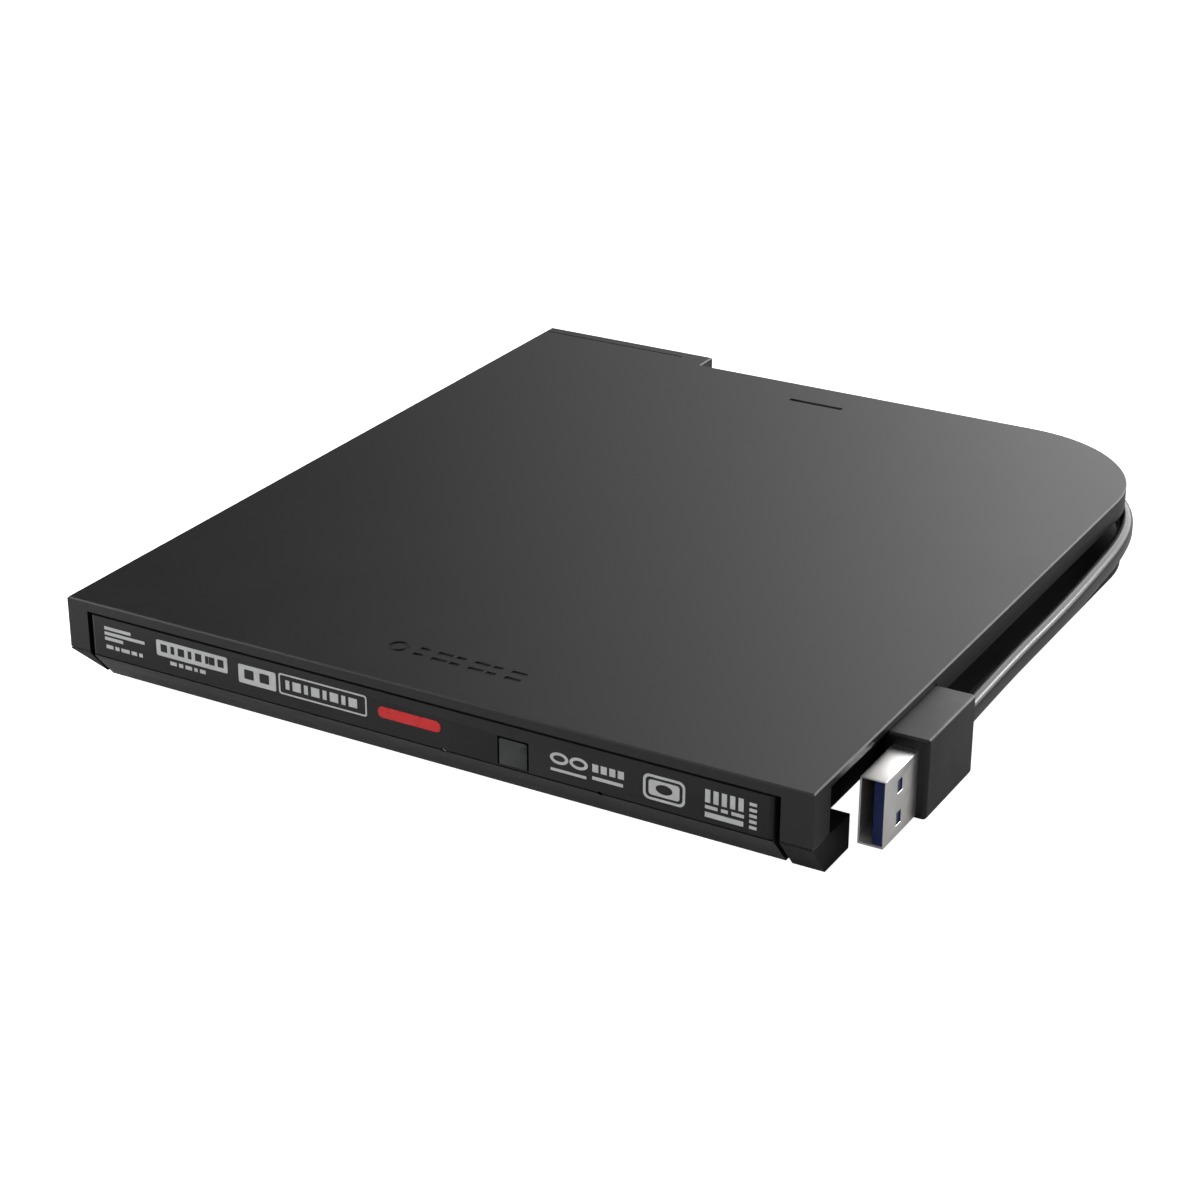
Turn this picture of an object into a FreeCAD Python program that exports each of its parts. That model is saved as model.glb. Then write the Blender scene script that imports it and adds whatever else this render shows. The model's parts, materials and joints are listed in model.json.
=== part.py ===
import FreeCAD, Part
import math
import os
import re
import Sketcher
from FreeCAD import Placement, Rotation, Vector

# External slim optical drive. Origin: middle of the case's footprint, on the table.
# X to the right, Y from the bezel to the rear, Z up. Millimetres.

DIMS = {
    # case
    "case_half": (72.5, "half of the case width"),
    "case_front": (-83.6, "front plane"),
    "case_rear": (78.1, "rear plane"),
    "bump_rear": (83.6, "rear plane of the cable bump"),
    "bump_right": (-32.0, "right end of the cable bump"),
    "case_top": (17.0, "top plane"),
    "case_base": (1.0, "underside of the bottom cover"),
    "part_line": (7.2, "joint between the two covers"),
    "skin": (1.9, "top plate thickness"),
    "floor_skin": (1.2, "bottom plate thickness"),
    "wall": (1.5, "left and bump wall thickness"),
    "round_radius": (28.0, "rear right corner radius"),
    "groove_depth": (5.2, "depth of the cable groove"),
    "groove_top": (12.8, "roof of the cable groove"),
    "groove_lip": (0.4, "height of the lip outside the groove floor"),
    "groove_wall": (1.2, "wall behind the groove"),
    "bay_inner": (64.6, "inner face of the plug bay"),
    "bay_wall": (0.9, "wall behind the plug bay"),
    "bay_front": (-77.6, "front end of the plug bay"),
    "bay_rear": (-36.6, "rear end of the plug bay"),
    "bay_roof": (15.6, "roof of the plug bay"),
    "pillar_left": (-68.2, "inner face of the left front pillar"),
    "pillar_right": (66.9, "inner face of the right front pillar"),
    "pillar_depth": (4.0, "depth of the front pillars"),
    "bevel_depth": (4.9, "run of the lower front bevel"),
    "thick_left": (-66.9, "inside of the bottom cover's left edge"),
    "edge_bevel": (0.25, "bevel round the top plate"),
    "slot_half": (5.95, "half length of the slot in the top plate"),
    "slot_middle": (68.7, "slot position"),
    "slot_half_width": (0.55, "half width of the slot"),
    "slot_depth": (0.5, "depth of the slot"),
    "bump_line": (80.6, "line across the bump"),
    "emblem_left": (-10.8, "centre of the sunk ring on the top plate"),
    "emblem_line": (-71.5, "middle of the sunk figure"),
    "emblem_half": (1.9, "half height of the sunk figure"),
    "emblem_pitch": (3.6, "step between the sunk bars"),
    "emblem_depth": (0.18, "depth of the sunk figure"),
    # fasteners and feet
    "boss_radius": (2.6, "screw boss radius"),
    "boss_y_left": (57.0, "left screw, along Y"),
    "boss_x_left": (-63.8, "left screw, along X"),
    "boss_y_right": (60.0, "right screw, along Y"),
    "boss_x_right": (46.0, "right screw, along X"),
    "screw_radius": (1.1, "case screw shank radius"),
    "head_radius": (2.1, "screw head radius"),
    "head_height": (0.9, "screw head height"),
    "fit_gap": (0.06, "running clearance on a radius"),
    "foot_radius": (5.0, "rubber foot radius"),
    "foot_x": (56.0, "feet, from the middle"),
    "foot_y_front": (-67.0, "front feet"),
    "foot_y_rear": (52.0, "rear feet"),
    # bezel and button
    "bezel_left": (-67.6, "left end of the bezel"),
    "bezel_right": (65.8, "right end of the bezel"),
    "bezel_top": (14.65, "top of the bezel"),
    "bezel_base": (1.15, "bottom of the bezel"),
    "bezel_back": (-81.5, "back of the bezel"),
    "bezel_toe": (-77.3, "back of the bezel's lower band"),
    "button_left": (16.35, "left side of the eject button"),
    "button_right": (21.55, "right side of the eject button"),
    "button_base": (7.45, "bottom of the eject button"),
    "button_top": (12.15, "top of the eject button"),
    "button_gap": (0.35, "gap round the eject button"),
    "groove_line": (7.0, "line across the bezel"),
    "stripe_left": (-7.2, "left end of the red inlay"),
    "stripe_right": (5.2, "right end of the red inlay"),
    "stripe_base": (10.0, "bottom of the red inlay"),
    "stripe_top": (12.1, "top of the red inlay"),
    "light_x": (5.4, "busy light, along X"),
    "pinhole_x": (35.0, "emergency release hole, along X"),
    "stem_level": (9.2, "height of the eject button's stem"),
    "stop_front": (-78.9, "front of the web that the button's spring rests on"),
    # slim drive
    "drive_x": (-0.6, "middle of the drive"),
    "drive_half": (64.0, "half of the drive width"),
    "drive_front": (-77.0, "front of the drive's pan"),
    "drive_rear": (49.0, "rear of the drive's pan"),
    "drive_base": (2.3, "underside of the drive's pan"),
    "drive_top": (15.0, "top of the drive's lid"),
    "sheet": (0.6, "pan sheet thickness"),
    "lid_sheet": (0.5, "lid sheet thickness"),
    "guide_half": (63.3, "outside of the fixed guides"),
    "guide_web": (1.1, "guide thickness"),
    "runner_outer": (62.0, "outside of the runners"),
    "runner_inner": (59.6, "inside of the runners"),
    "tub_half": (59.3, "half width of the tray's lower body"),
    "tray_half": (62.9, "half width of the tray's deck"),
    "tray_front": (-81.4, "front of the tray"),
    "tray_rear": (42.4, "rear of the tray"),
    "tub_front": (-76.9, "front of the tray's lower body"),
    "tray_base": (4.0, "underside of the tray's walls"),
    "deck_under": (9.6, "underside of the tray's deck"),
    "deck_top": (11.6, "top of the tray's deck"),
    "disc_floor": (10.2, "floor of the disc recess"),
    "disc_radius": (60.4, "radius of the disc recess"),
    "plate_base": (3.5, "underside of the tray's cover plate"),
    "plate_top": (3.9, "top of the tray's cover plate"),
    "flat_fold": (-31.5, "fold of the flat cable at rest"),
    # traverse, in its own frame: u outward from the hub, v across
    "hub_y": (-19.1, "hub centre, along Y"),
    "travel_turn": (225.0, "direction of the pickup's travel, degrees"),
    "lens_rest": (24.0, "lens radius at rest"),
    "sled_half": (15.0, "half width of the pickup sled"),
    "rod_v": (13.0, "guide rods, across"),
    "rod_radius": (0.9, "guide rod radius"),
    "rod_level": (7.0, "guide rod height"),
    "screw_v": (18.0, "lead screw, across"),
    "frame_top": (5.0, "top of the traverse frame"),
    "frame_base": (4.3, "underside of the traverse frame"),
    "hub_radius": (7.35, "disc hub radius"),
    "hub_top": (12.4, "top of the disc hub"),
    "disc_level": (10.5, "underside of a disc"),
    # lead
    "lead_level": (10.3, "height of the lead's middle"),
    "lead_thick": (2.8, "lead thickness"),
    "lead_tall": (4.2, "lead height"),
    "plug_inner": (71.9, "inner face of the plug body"),
    "plug_outer": (79.7, "outer face of the plug body"),
    "plug_front": (-56.4, "front of the plug body"),
    "plug_rear": (-36.9, "rear of the plug body"),
    "plug_base": (1.1, "underside of the plug body"),
    "plug_top": (15.5, "top of the plug body"),
    "shell_inner": (73.5, "inner face of the plug's metal shell"),
    "shell_outer": (78.0, "outer face of the plug's metal shell"),
    "shell_front": (-69.1, "mouth of the plug's metal shell"),
    "shell_base": (1.7, "lower side of the plug's metal shell"),
    "shell_top": (13.7, "upper side of the plug's metal shell"),
    "shell_sheet": (0.3, "shell sheet thickness"),
}

doc = FreeCAD.newDocument("optical_drive")
cells = doc.addObject("Spreadsheet::Sheet", "Dims")
for row, (alias, (number, meaning)) in enumerate(DIMS.items(), 1):
    cells.set(f"A{row}", meaning)
    cells.set(f"B{row}", str(number))
    cells.setAlias(f"B{row}", alias)
doc.recompute()

nodes = []


def bound(text):
    """A formula over the sheet's words, as FreeCAD's expressions write them."""
    return re.sub(r"[a-z][a-z_]+", lambda word: "Dims." + word[0] if word[0] in DIMS else word[0], str(text))


def value(text):
    return float(cells.evalExpression(bound(text)))


def bind(thing, prop, text):
    thing.setExpression(prop, bound(text))


def span(pair):
    return f"({pair[1]}) - ({pair[0]})"


def keep(thing, label):
    """Make an object a finished sub-part with this name."""
    thing.Label = label
    nodes.append(thing)
    return thing


def bind_base(thing, x, y, z):
    for axis, text in zip("xyz", (x, y, z)):
        bind(thing, f"Placement.Base.{axis}", text)


# ---- Part primitives ----

def block(name, x, y, z):
    """Box from three (low, high) pairs of formulas."""
    thing = doc.addObject("Part::Box", name)
    for prop, pair in (("Length", x), ("Width", y), ("Height", z)):
        bind(thing, prop, span(pair))
    bind_base(thing, x[0], y[0], z[0])
    return thing


TURNS = {
    "x": Rotation(Vector(0, 1, 0), 90),
    "y": Rotation(Vector(1, 0, 0), -90),
    "z": Rotation(),
}


def rod(name, start, length, radius, axis="z"):
    """Cylinder from its start point along an axis."""
    thing = doc.addObject("Part::Cylinder", name)
    thing.Placement = Placement(Vector(), TURNS[axis])
    bind(thing, "Radius", radius)
    bind(thing, "Height", length)
    bind_base(thing, *start)
    return thing


def ring(name, start, length, radius, hole):
    """Tube along Z."""
    outside = rod(name + "_out", start, length, radius)
    return cut(name, outside, rod(name + "_hole", start, length, hole))


def fuse(name, *parts):
    thing = doc.addObject("Part::MultiFuse", name)
    thing.Shapes = list(parts)
    return thing


def cut(name, base, *tools):
    thing = doc.addObject("Part::Cut", name)
    thing.Base = base
    thing.Tool = tools[0] if len(tools) == 1 else fuse(name + "_tools", *tools)
    return thing


def common(name, first, second):
    thing = doc.addObject("Part::Common", name)
    thing.Base = first
    thing.Tool = second
    return thing


def group(name, *parts):
    """Several separate solids that share one node."""
    thing = doc.addObject("Part::Compound", name)
    thing.Links = list(parts)
    return thing


def on_traverse(thing):
    """Turn a finished piece from the traverse's own frame to the drive's."""
    thing.Placement = Placement(Vector(), Rotation(Vector(0, 0, 1), 1))
    bind(thing, "Placement.Rotation.Angle", "travel_turn")
    bind_base(thing, "drive_x", "hub_y", 0)
    return thing


# ---- PartDesign bodies ----

def tangent_points(outline):
    """Corners of an outline, with each rounded one as its two tangent points."""
    plan = [Vector(value(x), value(y), 0) for x, y, *_ in outline]
    points = []
    for index, corner in enumerate(outline):
        if len(corner) == 2:
            points.append((corner[0], corner[1], None))
            continue
        x, y, radius = corner
        here = plan[index]
        toward_last = (plan[index - 1] - here).normalize()
        toward_next = (plan[(index + 1) % len(plan)] - here).normalize()
        bends = ((toward_last, (here, radius)), (toward_next, None))
        for way, bend in bends:
            points.append((f"{x} + ({radius}) * {way.x:.0f}", f"{y} + ({radius}) * {way.y:.0f}", bend))
    return points


class Piece:
    """A PartDesign body built from outlines of formulas."""

    def __init__(self, label):
        self.body = doc.addObject("PartDesign::Body", label)
        self.features = 0
        keep(self.body, label)

    def sketch(self, plane, level, outlines):
        sketch = self.body.newObject("Sketcher::SketchObject", f"{self.body.Label}_sketch")
        origin = [item for item in self.body.Origin.OriginFeatures if item.Role == plane][0]
        sketch.AttachmentSupport = [(origin, "")]
        sketch.MapMode = "FlatFace"
        bind(sketch, "AttachmentOffset.Base.z", level)
        for outline in outlines:
            if isinstance(outline, tuple):
                self.draw_circle(sketch, *outline)
            else:
                self.draw_polygon(sketch, outline)
        return sketch

    def pin(self, sketch, kind, item, point, text):
        """Fix one coordinate of a sketch point to a formula."""
        index = sketch.addConstraint(Sketcher.Constraint(kind, -1, 1, item, point, value(text)))
        name = f"{kind}{index}"
        sketch.renameConstraint(index, name)
        bind(sketch, f"Constraints.{name}", text)

    def draw_circle(self, sketch, x, y, radius):
        centre = Vector(value(x), value(y), 0)
        item = sketch.addGeometry(Part.Circle(centre, Vector(0, 0, 1), value(radius)))
        self.pin(sketch, "DistanceX", item, 3, x)
        self.pin(sketch, "DistanceY", item, 3, y)
        index = sketch.addConstraint(Sketcher.Constraint("Radius", item, value(radius)))
        sketch.renameConstraint(index, f"Radius{index}")
        bind(sketch, f"Constraints.Radius{index}", radius)

    def draw_polygon(self, sketch, outline):
        """Closed outline; a corner with a third formula is rounded by that radius."""
        first = sketch.GeometryCount
        points = tangent_points(outline)
        ends = []
        for (x, y, bend), (next_x, next_y, _) in zip(points, points[1:] + points[:1]):
            here = Vector(value(x), value(y), 0)
            there = Vector(value(next_x), value(next_y), 0)
            if bend is None:
                sketch.addGeometry(Part.LineSegment(here, there))
                ends.append((1, 2))
                continue
            corner, radius = bend
            centre = here + there - corner
            middle = centre + (corner - centre).normalize() * value(radius)
            sketch.addGeometry(Part.Arc(here, middle, there))
            anticlockwise = (corner - here).cross(there - corner).z > 0
            ends.append((1, 2) if anticlockwise else (2, 1))
        for side, (x, y, bend) in enumerate(points):
            after = (side + 1) % len(points)
            sketch.addConstraint(
                Sketcher.Constraint("Coincident", first + side, ends[side][1], first + after, ends[after][0]))
            self.pin(sketch, "DistanceX", first + side, ends[side][0], x)
            self.pin(sketch, "DistanceY", first + side, ends[side][0], y)
            if bend is not None:
                index = sketch.addConstraint(Sketcher.Constraint("Radius", first + side, value(bend[1])))
                sketch.renameConstraint(index, f"Radius{index}")
                bind(sketch, f"Constraints.Radius{index}", bend[1])

    def pad(self, outlines, low, high, plane="XY_Plane"):
        sketch = self.sketch(plane, low, outlines)
        pad = self.body.newObject("PartDesign::Pad", f"{self.body.Label}_pad")
        pad.Profile = sketch
        bind(pad, "Length", span((low, high)))
        doc.recompute()

    def pocket(self, outlines, low, high, plane="XY_Plane"):
        """Cut from the level high down to low."""
        before = self.body.Shape.Volume
        sketch = self.sketch(plane, high, outlines)
        pocket = self.body.newObject("PartDesign::Pocket", f"{self.body.Label}_pocket")
        pocket.Profile = sketch
        bind(pocket, "Length", span((low, high)))
        doc.recompute()
        if self.body.Shape.Volume > before - 0.001:
            raise RuntimeError(f"{self.body.Label}: a pocket cuts nothing")

    def edges(self, test):
        found = [f"Edge{number}" for number, edge in enumerate(self.body.Shape.Edges, 1) if test(edge)]
        if not found:
            raise RuntimeError(f"{self.body.Label}: no edge to dress")
        return (self.body.Tip, found)

    def fillet(self, test, radius):
        chosen = self.edges(test)
        fillet = self.body.newObject("PartDesign::Fillet", f"{self.body.Label}_round")
        fillet.Base = chosen
        bind(fillet, "Radius", radius)
        doc.recompute()

    def chamfer(self, test, size):
        chosen = self.edges(test)
        chamfer = self.body.newObject("PartDesign::Chamfer", f"{self.body.Label}_bevel")
        chamfer.Base = chosen
        bind(chamfer, "Size", size)
        doc.recompute()


def rectangle(x, y):
    return [(x[0], y[0]), (x[1], y[0]), (x[1], y[1]), (x[0], y[1])]


def upright_at(x, y):
    """Tells an upright edge at a place."""
    def test(edge):
        ends = [vertex.Point for vertex in edge.Vertexes]
        if len(ends) != 2 or abs(ends[0].z - ends[1].z) < 0.1:
            return False
        return all(math.hypot(end.x - value(x), end.y - value(y)) < 0.02 for end in ends)
    return test


def upright_at_any(places):
    """Tells an upright edge at one of several places."""
    tests = [upright_at(x, y) for x, y in places]

    def test(edge):
        return any(one(edge) for one in tests)
    return test


def all_at(level):
    """Tells an edge that lies wholly at a height."""
    def test(edge):
        box = edge.BoundBox
        return abs(box.ZMin - value(level)) < 0.01 and abs(box.ZMax - value(level)) < 0.01
    return test


# ---- case ----

CASE_OUTLINE = [
    ("-case_half", "case_front"),
    ("case_half", "case_front"),
    ("case_half", "case_rear", "round_radius"),
    ("bump_right", "case_rear"),
    ("bump_right", "bump_rear"),
    ("-case_half", "bump_rear"),
]

FRONT_BEYOND = "case_front - 5"
SIDE_BEYOND = "case_half + 5"
REAR_BEYOND = "bump_rear + 5"
GROOVE_X = "case_half - groove_depth"
GROOVE_Y = "case_rear - groove_depth"
INNER_X = "case_half - groove_depth - groove_wall"
INNER_Y = "case_rear - groove_depth - groove_wall"
BAY_X = "bay_inner - bay_wall"
GLAND_X = "bump_right - 4.3"


def cavity(left):
    """Outline of the space inside the case, open at the front."""
    return [
        ("pillar_left", FRONT_BEYOND),
        ("pillar_right", FRONT_BEYOND),
        ("pillar_right", "case_front + pillar_depth"),
        (BAY_X, "case_front + pillar_depth"),
        (BAY_X, "bay_rear + 2"),
        (INNER_X, "bay_rear + 2"),
        (INNER_X, INNER_Y, "round_radius - groove_depth - groove_wall"),
        ("bump_right - wall", INNER_Y),
        ("bump_right - wall", "bump_rear - wall"),
        (left, "bump_rear - wall"),
        (left, "case_front + pillar_depth"),
        ("pillar_left", "case_front + pillar_depth"),
    ]


def groove_outline(side, rear):
    """Outline of the band between the groove's inner wall and a side and rear limit."""
    return [
        (side[0], "bay_rear - 1"),
        (side[0], rear, *side[1:]),
        (GLAND_X, rear),
        (GLAND_X, GROOVE_Y),
        (GROOVE_X, GROOVE_Y, "round_radius - groove_depth"),
        (GROOVE_X, "bay_rear - 1"),
    ]


def make_top_cover():
    cover = Piece("top_cover")
    cover.pad([CASE_OUTLINE], "part_line", "case_top")
    cover.chamfer(all_at("case_top"), "edge_bevel")
    cover.pocket([cavity("wall - case_half")], "part_line", "case_top - skin")
    cover.pocket([groove_outline([SIDE_BEYOND], "case_rear + 3")], "part_line", "groove_top")
    bay = rectangle(("bay_inner", SIDE_BEYOND), ("bay_front", "bay_rear"))
    cover.pocket([bay], "part_line", "bay_roof")
    bosses = [
        ("boss_x_left", "boss_y_left", "boss_radius"),
        ("boss_x_right", "boss_y_right", "boss_radius"),
    ]
    pilots = [(x, y, "screw_radius + fit_gap") for x, y, radius in bosses]
    cover.pad(bosses, "part_line", "case_top - skin")
    cover.pocket(pilots, "part_line - 1", "case_top - skin - 2")
    slot_x = ("-slot_half", "slot_half")
    slot_y = ("slot_middle - slot_half_width", "slot_middle + slot_half_width")
    cover.pocket([rectangle(slot_x, slot_y)], "case_top - slot_depth", "case_top")
    seam = rectangle(("-case_half - 1", "bump_right - 6"), ("bump_line", "bump_line + 0.4"))
    cover.pocket([seam], "case_top - 0.3", "case_top")
    make_emblem(cover)


def make_emblem(cover):
    """Plain sunk figure near the front edge: a ring and two rows of bars."""
    rim = ("emblem_left", "emblem_line", "emblem_half")
    eye = ("emblem_left", "emblem_line", "emblem_half * 0.62")
    bars = []
    for number in range(6):
        start = f"emblem_left + emblem_pitch * {number + 1}"
        width = "emblem_pitch * 0.82" if number % 2 else "emblem_pitch * 0.5"
        for side in ("+", "-"):
            low = f"emblem_line {side} emblem_half * 0.62 - emblem_half * 0.26"
            high = f"emblem_line {side} emblem_half * 0.62 + emblem_half * 0.26"
            bars.append(rectangle((start, f"{start} + {width}"), (low, high)))
    cover.pocket([rim, eye] + bars, "case_top - emblem_depth", "case_top")



def make_bottom_cover():
    cover = Piece("bottom_cover")
    cover.pad([CASE_OUTLINE], "case_base", "part_line")
    cover.pocket([cavity("thick_left")], "case_base + floor_skin", "part_line")
    front_gap = rectangle(("pillar_left", "pillar_right"), (FRONT_BEYOND, "bezel_toe + 0.5"))
    cover.pocket([front_gap], "case_base - 1", "part_line")
    lip = groove_outline(["case_half - 0.8", "round_radius - 0.8"], "case_rear - 0.8")
    cover.pocket([lip], "part_line - groove_lip", "part_line")
    bay = rectangle(("bay_inner", SIDE_BEYOND), ("shell_front - 0.9", "bay_rear"))
    cover.pocket([bay], "case_base - 1", "part_line + 1")
    bevel = [
        ("case_front - 2", "part_line - 0.2"),
        ("case_front", "part_line - 0.2"),
        ("case_front + bevel_depth", "case_base"),
        ("case_front + bevel_depth", "case_base - 2"),
        ("case_front - 2", "case_base - 2"),
    ]
    cover.pocket([bevel], "-case_half - 2", "case_half + 2", plane="YZ_Plane")
    side_bevel = [
        ("-case_half - 2", "part_line - 0.2"),
        ("-case_half", "part_line - 0.2"),
        ("-case_half + 5", "case_base"),
        ("-case_half + 5", "case_base - 2"),
        ("-case_half - 2", "case_base - 2"),
    ]
    cover.pocket([side_bevel], "-bump_rear - 2", "2 - case_front", plane="XZ_Plane")
    posts = [
        ("boss_x_left", "boss_y_left", "boss_radius"),
        ("boss_x_right", "boss_y_right", "boss_radius"),
    ]
    cover.pad(posts, "case_base + floor_skin - 0.2", "part_line")
    holes = [(x, y, "screw_radius + 0.15") for x, y, radius in posts]
    heads = [(x, y, "head_radius + 0.2") for x, y, radius in posts]
    drive_holes = [(x, y, "screw_radius + 0.15") for x, y in DRIVE_SCREWS]
    drive_heads = [(x, y, "head_radius + 0.2") for x, y in DRIVE_SCREWS]
    cover.pocket(holes + drive_holes, "case_base - 1", "part_line + 1")
    cover.pocket(heads, "case_base - 1", "case_base + 1.1")
    cover.pocket(drive_heads, "case_base - 1", "case_base + 0.8")


DRIVE_SCREWS = [
    ("drive_x - 54", "-50"),
    ("drive_x + 54", "-50"),
    ("drive_x - 54", "30"),
    ("drive_x + 54", "30"),
]


def make_fasteners():
    screws = []
    for side, head in (("left", "case_base + 0.15"), ("right", "case_base + 0.15")):
        start = (f"boss_x_{side}", f"boss_y_{side}", head)
        shank_start = (f"boss_x_{side}", f"boss_y_{side}", f"{head} + head_height")
        screws.append(fuse(f"case_screw_{side}",
                           rod(f"case_head_{side}", start, "head_height", "head_radius"),
                           rod(f"case_shank_{side}", shank_start, 10, "screw_radius")))
    keep(group("case_screw_group", *screws), "case_screws")
    screws = []
    for number, (x, y) in enumerate(DRIVE_SCREWS):
        start = (x, y, "case_base + 0.1")
        shank_start = (x, y, "case_base + 0.75")
        screws.append(fuse(f"drive_screw_{number}",
                           rod(f"drive_head_{number}", start, 0.65, "head_radius"),
                           rod(f"drive_shank_{number}", shank_start, 1.2, "screw_radius")))
    keep(group("drive_screw_group", *screws), "drive_screws")
    places = [
        ("-foot_x", "foot_y_front"),
        ("foot_x", "foot_y_front"),
        ("-foot_x", "foot_y_rear + 18"),
        ("foot_x - 4", "foot_y_rear"),
    ]
    feet = [
        rod(f"foot_{number}", (x, y, 0), "case_base", "foot_radius")
        for number, (x, y) in enumerate(places)
    ]
    keep(group("foot_group", *feet), "case_feet")


# ---- slim drive, fixed half ----

LEFT = "drive_x - drive_half"
RIGHT = "drive_x + drive_half"


def make_pan():
    pan = Piece("drive_chassis")
    plan = rectangle((LEFT, RIGHT), ("drive_front", "drive_rear"))
    pan.pad([plan], "drive_base", "drive_top - lid_sheet")
    inside = rectangle((f"{LEFT} + sheet", f"{RIGHT} - sheet"), ("drive_front - 1", "drive_rear - sheet"))
    pan.pocket([inside], "drive_base + sheet", "drive_top - lid_sheet")
    holes = [(x, y, "screw_radius + 0.06") for x, y in DRIVE_SCREWS]
    pan.pocket(holes, "drive_base - 1", "drive_base + sheet")
    socket = rectangle(("drive_x - 31", "drive_x - 8"), ("drive_rear - 2", "drive_rear + 1"))
    pan.pocket([socket], "4.2", "10.6")
    post = rectangle(("drive_x + 48.9", "drive_x + 51.1"), ("44.2", "46.4"))
    pan.pad([post], "drive_base + sheet - 0.1", "8.2")
    pan.fillet(upright_at_any(post), "0.9")


def make_lid():
    lid = Piece("drive_lid")
    plan = rectangle((LEFT, RIGHT), ("drive_front - 3.6", "drive_rear"))
    lid.pad([plan], "drive_top - lid_sheet", "drive_top")
    lid.pocket([("drive_x", "hub_y", "54")], "drive_top - 0.2", "drive_top")
    lid.pad([("drive_x", "hub_y", "50")], "drive_top - 0.2", "drive_top - 0.05")


def make_guide(side, sign):
    """Fixed outer guide: an upright web with a lower flange under the runner."""
    outer = f"drive_x {sign} guide_half"
    inner = f"drive_x {sign} (guide_half - guide_web)"
    toe = f"drive_x {sign} (runner_inner + 0.3)"
    web_x = (outer, inner) if sign == "-" else (inner, outer)
    flange_x = (inner, toe) if sign == "-" else (toe, inner)
    web = block(f"guide_web_{side}", web_x, ("-73.5", "46"), (3.2, 9.3))
    flange = block(f"guide_flange_{side}", flange_x, ("-73.5", "46"), (3.2, 4.0))
    keep(fuse(f"guide_{side}", web, flange), f"rail_guide_{side}")


def make_runner(side, sign):
    """Telescopic runner: a bar with a groove that the tray's tongue rides in."""
    outer = f"drive_x {sign} runner_outer"
    inner = f"drive_x {sign} runner_inner"
    groove = f"drive_x {sign} (runner_inner + 1.0)"
    bar_x = (outer, inner) if sign == "-" else (inner, outer)
    groove_x = (groove, f"{inner} + 1") if sign == "-" else (f"{inner} - 1", groove)
    bar = block(f"runner_bar_{side}", bar_x, ("-72", "40"), (4.2, 9.2))
    slot = block(f"runner_slot_{side}", groove_x, ("-73", "41"), (6.2, 7.6))
    keep(cut(f"runner_{side}", bar, slot), f"rail_{side}")


def make_rear_electronics():
    board = block("chassis_board_blank", ("drive_x - 45", "drive_x + 40"), ("43.4", "48.0"), (3.2, 4.0))
    keep(board, "chassis_board")
    chips = []
    for x in (0, 9, 30):
        chip_x = (f"drive_x + {x}", f"drive_x + {x + 6}")
        chips.append(block(f"chassis_chip_{x}", chip_x, ("44.2", "47.2"), (4.0, 5.0)))
    keep(group("chassis_chips", *chips), "board_chips")
    keep(block("flat_socket", ("drive_x + 17", "drive_x + 28"), (44.0, 47.6), (4.0, 5.6)), "ffc_connector")
    body = block("drive_plug_body", ("drive_x - 30", "drive_x - 9"), ("44.6", "50.6"), (4.4, 10.2))
    slot = block("drive_plug_slot", ("drive_x - 29", "drive_x - 10"), ("47.6", "51"), (5.6, 9.0))
    tongue = block("drive_plug_tongue", ("drive_x - 28", "drive_x - 11"), ("47.4", "50.4"), (6.9, 7.7))
    keep(fuse("drive_plug", cut("drive_plug_shell", body, slot), tongue), "drive_connector")


def make_bridge():
    board = block("bridge_blank", (-58, 26), (53.6, 69.8), (4.6, 5.8))
    keep(board, "bridge_board")
    parts = [
        block("bridge_chip_main", (-2, 6), (58, 66), (5.8, 7.0)),
        block("bridge_chip_flash", (11, 16), (60, 64), (5.8, 7.2)),
        rod("bridge_coil", (20, 63, 5.8), 3.2, 2.6),
        rod("bridge_capacitor", (-44, 58, 5.8), 5.0, 2.4),
        rod("bridge_crystal", (8.4, 56.5, 5.8), 2.0, 1.4),
    ]
    keep(group("bridge_parts", *parts), "bridge_chips")
    body = block("bridge_socket_body", ("drive_x - 31.5", "drive_x - 7.5"), (50.9, 58.0), (5.8, 11.4))
    keep(body, "bridge_socket")
    keep(block("lead_socket_body", (-52, -40.6), (62.6, 68.6), (5.8, 9.6)), "lead_socket")


# ---- moving tray ----

def local_outline(points):
    """Outline given in the traverse's own frame, as formulas in the drive's frame."""
    turned_points = []
    for u, v in points:
        x = f"drive_x + ({u}) * cos(travel_turn) - ({v}) * sin(travel_turn)"
        y = f"hub_y + ({u}) * sin(travel_turn) + ({v}) * cos(travel_turn)"
        turned_points.append((x, y))
    return turned_points


BUTTON_MIDDLE = "(button_left + button_right) / 2"


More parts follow.
